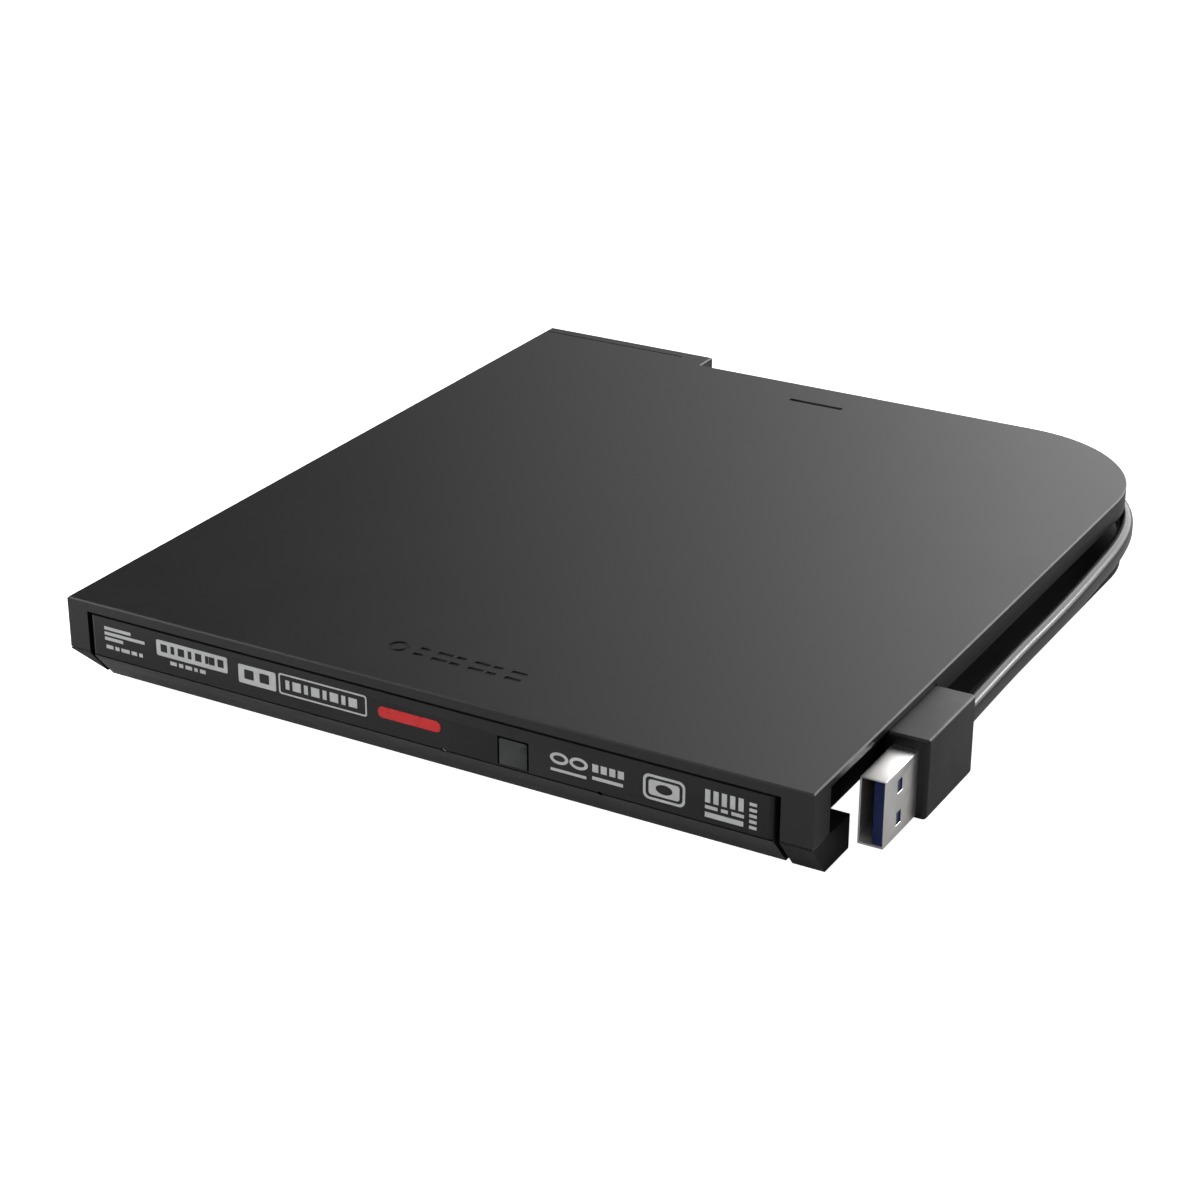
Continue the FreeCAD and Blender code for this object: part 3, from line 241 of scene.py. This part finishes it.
def relief(nodes, links, grains, height):
    bump = nodes.new("ShaderNodeBump")
    bump.inputs["Distance"].default_value = height * MM
    bump.inputs["Strength"].default_value = 1.0
    links.new(grains, bump.inputs["Height"])
    return bump.outputs["Normal"]


def finish(name, colour, roughness, metallic=0.0, spread=0.10, patch=14.0, grain=0.35, bump=0.02,
           rough_spread=0.05, coat=0.0, specular=0.5, edge=0.0, brushed=None, transmission=0.0):
    """A surface whose colour and gloss wander in patches and which has a fine grain.

    patch and grain are sizes in mm, bump the grain's height in mm, and edge how strongly the painted edge
    sheen pulls sharp outer edges towards mid grey.
    brushed stretches the grain along one axis.
    """
    material = bpy.data.materials.new(name)
    material.use_nodes = True
    nodes, links = material.node_tree.nodes, material.node_tree.links
    shader = nodes["Principled BSDF"]
    where = nodes.new("ShaderNodeTexCoord").outputs["Object"]

    patches = noise(nodes, links, where, patch, 3)
    along = stretched(nodes, links, where, brushed) if brushed else where
    grains = noise(nodes, links, along, grain, 2)
    pattern = mixed(nodes, links, patches, grains)
    painted = tinted(nodes, links, pattern, colour, spread)
    # Painted edge sheen: sharp outer edges drawn towards mid grey, standing in for edge highlights.
    if edge:
        painted = painted_edge_sheen(nodes, links, painted, edge)
    links.new(painted, shader.inputs["Base Color"])
    links.new(wandering(nodes, links, pattern, roughness, rough_spread), shader.inputs["Roughness"])
    links.new(relief(nodes, links, grains, bump), shader.inputs["Normal"])

    shader.inputs["Metallic"].default_value = metallic
    shader.inputs["Specular IOR Level"].default_value = specular
    shader.inputs["IOR"].default_value = 1.5
    shader.inputs["Coat Weight"].default_value = coat
    shader.inputs["Coat Roughness"].default_value = 0.12
    shader.inputs["Transmission Weight"].default_value = transmission
    return material


ALONG_X = (0.05, 1, 1)
ALONG_Y = (1, 0.05, 1)

# One finish for each material slot; edge= sets the strength of the painted edge sheen.
FINISHES = {
    "case_plastic": finish("satin_black_shell", (0.005, 0.005, 0.0055), 0.46, spread=0.2, grain=0.32,
                           bump=0.010, rough_spread=0.01),
    "bezel_plastic": finish("bezel_charcoal", (0.013, 0.012, 0.0135), 0.42, specular=0.3, spread=0.12,
                            grain=0.25, bump=0.006),
    "button_plastic": finish("button_charcoal", (0.006, 0.008, 0.008), 0.34, specular=0.3, spread=0.12,
                             grain=0.25, bump=0.005, edge=0.10),
    "red_inlay": finish("red_stripe", (0.56, 0.018, 0.020), 0.28, specular=0.35, spread=0.10, patch=3,
                        grain=0.2, bump=0.003, coat=0.4),
    "light_plastic": finish("light_window", (0.30, 0.33, 0.34), 0.25, spread=0.10, patch=1, grain=0.1,
                            bump=0.002, coat=0.3),
    "rubber_feet": finish("black_rubber", (0.016, 0.016, 0.017), 0.78, spread=0.25, patch=4, grain=0.3,
                          bump=0.03),
    "screw_steel": finish("black_screw", (0.11, 0.11, 0.115), 0.35, 0.9, spread=0.2, patch=2, grain=0.15,
                          bump=0.004, edge=0.3),
    "sheet_metal": finish("tinned_sheet", (0.56, 0.57, 0.58), 0.34, 1.0, spread=0.12, patch=9, grain=0.25,
                          bump=0.004, rough_spread=0.08, brushed=ALONG_X),
    "tray_plastic": finish("tray_black", (0.016, 0.016, 0.018), 0.50, spread=0.18, grain=0.3, bump=0.015),
    "guide_plastic": finish("guide_grey", (0.16, 0.165, 0.17), 0.45, spread=0.10, patch=5, grain=0.2,
                            bump=0.005),
    "runner_metal": finish("runner_steel", (0.60, 0.61, 0.62), 0.28, 1.0, spread=0.10, patch=10, grain=0.2,
                           bump=0.004, brushed=ALONG_Y, edge=0.2),
    "board_laminate": finish("green_laminate", (0.012, 0.085, 0.040), 0.38, spread=0.25, patch=2.5,
                             grain=0.2, bump=0.004, coat=0.3),
    "chip_body": finish("chip_black", (0.018, 0.018, 0.019), 0.55, spread=0.15, patch=2, grain=0.12,
                        bump=0.004),
    "connector_plastic": finish("connector_black", (0.022, 0.022, 0.023), 0.42, spread=0.12, patch=3,
                                grain=0.15, bump=0.004),
    "socket_white": finish("socket_ivory", (0.66, 0.64, 0.57), 0.40, spread=0.06, patch=3, grain=0.15,
                           bump=0.003),
    "flat_film": finish("film_white", (0.62, 0.63, 0.64), 0.30, spread=0.07, patch=6, grain=0.5,
                        bump=0.004, brushed=ALONG_Y),
    "spring_steel": finish("spring_wire", (0.50, 0.49, 0.47), 0.26, 1.0, spread=0.12, patch=1.5, grain=0.1,
                           bump=0.002),
    "bright_steel": finish("bright_steel", (0.68, 0.68, 0.67), 0.16, 1.0, spread=0.08, patch=4, grain=0.1,
                           bump=0.002, rough_spread=0.04),
    "motor_metal": finish("motor_can", (0.46, 0.46, 0.45), 0.30, 1.0, spread=0.12, patch=4, grain=0.15,
                          bump=0.003),
    "bearing_bronze": finish("bronze", (0.52, 0.33, 0.15), 0.32, 1.0, spread=0.15, patch=1.5, grain=0.1,
                             bump=0.003),
    "hub_plastic": finish("hub_black", (0.020, 0.020, 0.022), 0.36, spread=0.15, patch=5, grain=0.2,
                          bump=0.004, edge=0.1),
    "sled_metal": finish("cast_zinc", (0.36, 0.36, 0.37), 0.48, 1.0, spread=0.18, patch=3, grain=0.3,
                         bump=0.01, edge=0.3),
    "magnet": finish("magnet_nickel", (0.40, 0.39, 0.37), 0.30, 1.0, spread=0.12, patch=2, grain=0.15,
                     bump=0.003),
    "lens_plastic": finish("lens_frame", (0.035, 0.034, 0.030), 0.42, spread=0.12, patch=2, grain=0.12,
                           bump=0.003),
    "lens_glass": finish("lens_glass", (0.55, 0.62, 0.80), 0.06, spread=0.04, patch=1, grain=0.1, bump=0.0,
                         rough_spread=0.02, transmission=0.7),
    "cable_jacket": finish("cable_black", (0.006, 0.006, 0.0065), 0.22, specular=0.4, spread=0.2, patch=8,
                           grain=0.5, bump=0.006, rough_spread=0.05),
    "plug_plastic": finish("plug_black", (0.006, 0.006, 0.006), 0.45, specular=0.5, spread=0.15, patch=6,
                           grain=0.3, bump=0.012, edge=0.08),
    "plug_metal": finish("plug_nickel", (0.90, 0.89, 0.87), 0.38, 1.0, spread=0.06, patch=5, grain=0.2,
                         bump=0.003, rough_spread=0.05, brushed=ALONG_Y),
    "tongue_blue": finish("tongue_blue", (0.010, 0.028, 0.15), 0.36, spread=0.10, patch=3, grain=0.15,
                          bump=0.003),
    "contact_gold": finish("contact_gold", (0.90, 0.62, 0.20), 0.22, 1.0, spread=0.10, patch=1, grain=0.1,
                           bump=0.002),
}
PRINT_INK = finish("print_ink", (0.46, 0.465, 0.47), 0.42, spread=0.10, patch=2, grain=0.12, bump=0.003)
# The lower shell is the same plastic as the upper one, with a duller look.
SHADE_PLASTIC = finish("satin_black_base", (0.005, 0.005, 0.0055), 0.5, specular=0.2, spread=0.2, grain=0.32,
                       bump=0.010)


def dress(piece, material):
    """Give a piece one material."""
    piece.data.materials.clear()
    piece.data.materials.append(material)


# Faces that meet at more than SHARP keep a hard edge, and those at less than FLAT are one plane.
SHARP = math.radians(32)
FLAT = math.radians(0.4)

for node, thing in frame["nodes"].items():
    for place in thing.material_slots:
        place.material = FINISHES[SLOT_OF[node]]
    crease = thing.modifiers.new("crease", "EDGE_SPLIT")
    crease.split_angle = SHARP
    thing.modifiers.new("even_normals", "WEIGHTED_NORMAL")


# ---- pieces ----

def link_piece(name, mesh, slot):
    """Link a mesh as a piece that takes a slot's finish."""
    piece = bpy.data.objects.new(name, mesh)
    bpy.context.scene.collection.objects.link(piece)
    dress(piece, FINISHES[slot])
    return piece


def new_piece(name, mesh, body, slot):
    """Link a mesh as a piece that rides on a body."""
    piece = link_piece(name, mesh, slot)
    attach(piece, body)
    return piece


TOUCHING = 0.01 * MM
SQUARE = 0.9999


def outside(point):
    """Tells a point of the covers' front and side faces."""
    low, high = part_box("bottom_cover")
    return min(point.x - low.x, high.x - point.x, point.y - low.y) < TOUCHING


def at_joint_line(edge):
    """Tells an edge of the outer wall where the two covers meet."""
    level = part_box("top_cover")[0].z
    return all(abs(vertex.co.z - level) < TOUCHING and outside(vertex.co) for vertex in edge.verts)


def slanting(face):
    """Tells a face that isn't square to the axes."""
    return max(map(abs, face.normal)) < SQUARE


def drop_imported_normals(mesh):
    """Let the mesh shade by its own faces."""
    imported = mesh.attributes.get("custom_normal")
    if imported:
        mesh.attributes.remove(imported)


# Corners closer than MERGE are one, and an edge is rounded if it is at least LONG roundings long.
MERGE = 0.002 * MM
LONG = 6


def softened(node, width, segments=3, wanted=lambda edge: True):
    """A copy of a CAD node with its long sharp outer edges rounded, which stands for the node.

    width is the rounding's size in mm. Flat faces are shaded flat, and wanted picks the edges.
    """
    source = frame["nodes"][node]
    shape = bmesh.new()
    shape.from_mesh(source.data)
    bmesh.ops.remove_doubles(shape, verts=shape.verts, dist=MERGE)
    bmesh.ops.dissolve_limit(shape, angle_limit=FLAT, verts=shape.verts, edges=shape.edges)
    folds = [edge for edge in shape.edges if len(edge.link_faces) == 2]
    curved = {face for edge in folds if FLAT < edge.calc_face_angle(0) < SHARP for face in edge.link_faces}
    for face in shape.faces:
        face.smooth = face in curved and slanting(face)
    outer = [edge for edge in folds
             if edge.is_convex and edge.calc_face_angle(0) > SHARP
             and edge.calc_length() > LONG * width * MM and wanted(edge)]
    made = bmesh.ops.bevel(shape, geom=outer, offset=width * MM, segments=segments, profile=0.5,
                           affect="EDGES", clamp_overlap=True)
    for face in made["faces"]:
        face.smooth = slanting(face)
    mesh = bpy.data.meshes.new(node + "_finish")
    shape.to_mesh(mesh)
    shape.free()
    drop_imported_normals(mesh)
    mesh.set_sharp_from_angle(angle=SHARP)
    piece = new_piece(node + "_finish", mesh, source["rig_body"], SLOT_OF[node])
    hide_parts(node)
    return piece


def bending(node):
    """A copy of a CAD node in place, unattached to any body, which stands for the node."""
    source = frame["nodes"][node]
    piece = link_piece(node + "_flexing", source.data.copy(), SLOT_OF[node])
    piece.matrix_world = source.matrix_world
    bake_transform(piece)
    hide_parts(node)


# Route of the lead in mm: out of the gland, round the rear right corner and down the side to the plug.
LEAD_ROUTE = [
    (-32.1, 75.2),
    (-10.0, 75.7),
    (12.0, 75.95),
    (32.0, 75.85),
    (48.0, 75.2),
    (59.3, 71.6),
    (67.6, 65.2),
    (73.2, 55.2),
    (75.6, 43.0),
    (76.4, 26.0),
    (76.9, 7.0),
    (76.7, -15.0),
    (77.3, -36.85),
]
LEAD_HEIGHT = 10.3
LEAD_WIDE = 4.2
LEAD_THIN = 2.8
LEAD_STEPS = 12


def spline_points():
    """The lead's line as points along its smooth curve."""
    curve = bpy.data.curves.new("lead_line", "CURVE")
    curve.dimensions = "3D"
    spline = curve.splines.new("NURBS")
    spline.points.add(len(LEAD_ROUTE) - 1)
    for point, (x, y) in zip(spline.points, LEAD_ROUTE):
        point.co = (x * MM, y * MM, LEAD_HEIGHT * MM, 1)
    spline.order_u = 3
    spline.use_endpoint_u = True
    spline.resolution_u = 16
    line = bpy.data.objects.new("lead_line", curve)
    bpy.context.scene.collection.objects.link(line)
    bpy.context.view_layer.update()
    mesh = bpy.data.meshes.new_from_object(line)
    points = [vertex.co.copy() for vertex in mesh.vertices]
    bpy.data.objects.remove(line)
    return points


def lead_section():
    """Flat oval section, standing upright, as (across, up) pairs in mm."""
    radius = LEAD_THIN / 2
    centre = LEAD_WIDE / 2 - radius
    ring = []
    for side, middle in enumerate((centre, -centre)):
        for step in range(LEAD_STEPS + 1):
            turn = math.pi * (step / LEAD_STEPS + side)
            ring.append((radius * math.cos(turn), radius * math.sin(turn) + middle))
    return ring


def make_lead():
    """The lead as a tube along its route, which stands for the CAD cable, and the points of its line."""
    points = spline_points()
    section = lead_section()
    shape = bmesh.new()
    rings = []
    for index, point in enumerate(points):
        before = points[max(index - 1, 0)]
        after = points[min(index + 1, len(points) - 1)]
        way = (after - before).normalized()
        across = Vector((way.y, -way.x, 0))
        rings.append([shape.verts.new(point + across * a * MM + Vector((0, 0, u * MM))) for a, u in section])
    for near, far in zip(rings, rings[1:]):
        for index in range(len(section)):
            after = (index + 1) % len(section)
            shape.faces.new((near[index], near[after], far[after], far[index]))
    shape.faces.new(rings[0][::-1])
    shape.faces.new(rings[-1])
    bmesh.ops.recalc_face_normals(shape, faces=shape.faces)
    for face in shape.faces:
        face.smooth = len(face.verts) == 4
    mesh = bpy.data.meshes.new("lead")
    shape.to_mesh(mesh)
    shape.free()
    lead = new_piece("lead", mesh, "case", "cable_jacket")
    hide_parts("cable")
    return lead, points


make_camera()
make_room()
make_floor()
make_lamps()

lead, lead_line = make_lead()
softened("top_cover", 0.18, 1, at_joint_line)
dress(softened("bottom_cover", 0.18, 1, at_joint_line), SHADE_PLASTIC)
softened("bezel", 0.35)
softened("eject_button", 0.25)
overmould = softened("plug_overmould", 0.3)
shell = softened("plug_shell", 0.18)
softened("tray", 0.2)
softened("turntable", 0.2)
bending("flat_cable")
bending("button_spring")


# ---- printed marks on the bezel: plain shapes only ----

CORNER_STEPS = 5
OVAL_STEPS = 40
INK_THICKNESS = 0.03


def flat_loop(curve, corners):
    """Add a closed outline to a flat curve."""
    spline = curve.splines.new("POLY")
    spline.points.add(len(corners) - 1)
    for point, (x, z) in zip(spline.points, corners):
        point.co = (x * MM, z * MM, 0, 1)
    spline.use_cyclic_u = True


def box_loop(x, z, radius=0.0):
    """Outline of a box with rounded or sharp corners, from (low, high) pairs in mm."""
    if radius == 0:
        return [(x[0], z[0]), (x[1], z[0]), (x[1], z[1]), (x[0], z[1])]
    loop = []
    for quarter, (cx, cz) in enumerate(((x[1], z[1]), (x[0], z[1]), (x[0], z[0]), (x[1], z[0]))):
        mx = cx - radius if cx == x[1] else cx + radius
        mz = cz - radius if cz == z[1] else cz + radius
        for step in range(CORNER_STEPS + 1):
            turn = math.pi / 2 * (quarter + step / CORNER_STEPS)
            loop.append((mx + radius * math.cos(turn), mz + radius * math.sin(turn)))
    return loop


def oval_loop(x, z, wide, high):
    """Outline of an oval, from its middle and its two radii in mm."""
    turns = [math.tau * step / OVAL_STEPS for step in range(OVAL_STEPS)]
    return [(x + wide * math.cos(turn), z + high * math.sin(turn)) for turn in turns]


def bar_row(start, widths, gap, z):
    """Outlines of upright bars side by side, from where they start, in mm."""
    loops = []
    for width in widths:
        loops.append(box_loop((start, start + width), z))
        start += width + gap
    return loops


def left_marks():
    """Outlines of the marks left of the stripe, where the real face has printed badges."""
    loops = []
    # Three slabs of different lengths, and dashes beneath.
    loops += [box_loop((-64.6, -58.8), (12.5, 13.1)), box_loop((-64.6, -55.8), (11.5, 12.1))]
    loops += [box_loop((-64.6, -60.6), (10.5, 11.1))]
    loops += bar_row(-64.4, (1.5, 0.9, 1.8, 1.2, 0.8), 0.45, (8.9, 9.6))
    # Filled box with bars cut out of it, and dashes beneath.
    loops += [box_loop((-53.2, -38.0), (10.3, 13.3), 0.35)]
    loops += bar_row(-52.3, (1.4, 0.8, 1.4, 0.8, 1.4, 0.8), 0.75, (11.1, 12.6))
    loops += bar_row(-42.0, (1.3, 1.3), 0.6, (11.1, 12.6))
    loops += bar_row(-50.4, (1.4, 0.9, 1.4, 0.7, 1.2), 0.5, (9.0, 9.7))
    # Filled box with two square holes, beside an outlined box with bars.
    loops += [box_loop((-35.7, -27.9), (9.4, 12.9), 0.3), box_loop((-34.5, -32.5), (10.3, 12.1), 0.2)]
    loops += [box_loop((-31.3, -29.3), (10.3, 12.1), 0.2)]
    loops += [box_loop((-27.3, -9.4), (9.3, 13.2), 0.5), box_loop((-27.0, -9.7), (9.6, 12.9), 0.35)]
    loops += bar_row(-25.9, (0.8, 1.7, 0.8, 1.7, 0.8, 1.7, 0.8, 1.7), 0.65, (10.4, 12.1))
    return loops


def right_marks():
    """Outlines of the marks right of the button."""
    loops = []
    # Two rings with bars beneath and beside them.
    for centre in (27.6, 31.2):
        loops += [oval_loop(centre, 11.3, 1.7, 1.05), oval_loop(centre, 11.3, 1.1, 0.55)]
    loops += bar_row(33.7, (1.1, 1.1, 1.1, 1.1), 0.45, (10.6, 12.0))
    loops += [box_loop((26.0, 32.6), (8.9, 9.4)), box_loop((33.7, 39.3), (9.2, 9.8))]
    # Rounded frame round a box with an oval hole.
    loops += [box_loop((42.9, 50.4), (8.5, 13.0), 1.1), box_loop((43.35, 49.95), (8.95, 12.55), 0.8)]
    loops += [box_loop((43.9, 49.4), (9.4, 12.1), 0.5), oval_loop(46.65, 10.75, 1.5, 0.85)]
    # Upright and flat bars with a ladder at their right.
    loops += bar_row(53.9, (0.9, 0.9, 0.9, 0.9, 0.9), 0.55, (10.7, 13.0))
    loops += bar_row(53.9, (2.2, 1.2, 2.2), 0.6, (9.6, 10.2))
    loops += [box_loop((53.9, 60.6), (8.1, 9.0))]
    for rung in range(5):
        low = 8.1 + rung * 1.02
        loops += [box_loop((61.6, 62.9), (low, low + 0.55))]
    return loops


def printed_mesh(loops):
    """The outlines as a thin sheet, where an outline inside another one is a hole."""
    curve = bpy.data.curves.new("marks_plan", "CURVE")
    curve.dimensions = "2D"
    curve.fill_mode = "BOTH"
    curve.extrude = INK_THICKNESS * MM / 2
    for loop in loops:
        flat_loop(curve, loop)
    plan = bpy.data.objects.new("marks_plan", curve)
    bpy.context.scene.collection.objects.link(plan)
    bpy.context.view_layer.update()
    mesh = bpy.data.meshes.new_from_object(plan)
    bpy.data.objects.remove(plan)
    return mesh


def make_marks():
    """Put the marks on the bezel's front face."""
    mesh = printed_mesh(left_marks() + right_marks())
    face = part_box("bezel")[0].y
    mesh.transform(Matrix.Translation((0, face, 0)) @ Matrix.Rotation(math.pi / 2, 4, "X"))
    marks = new_piece("bezel_marks", mesh, "tray", "bezel_plastic")
    dress(marks, PRINT_INK)


make_marks()
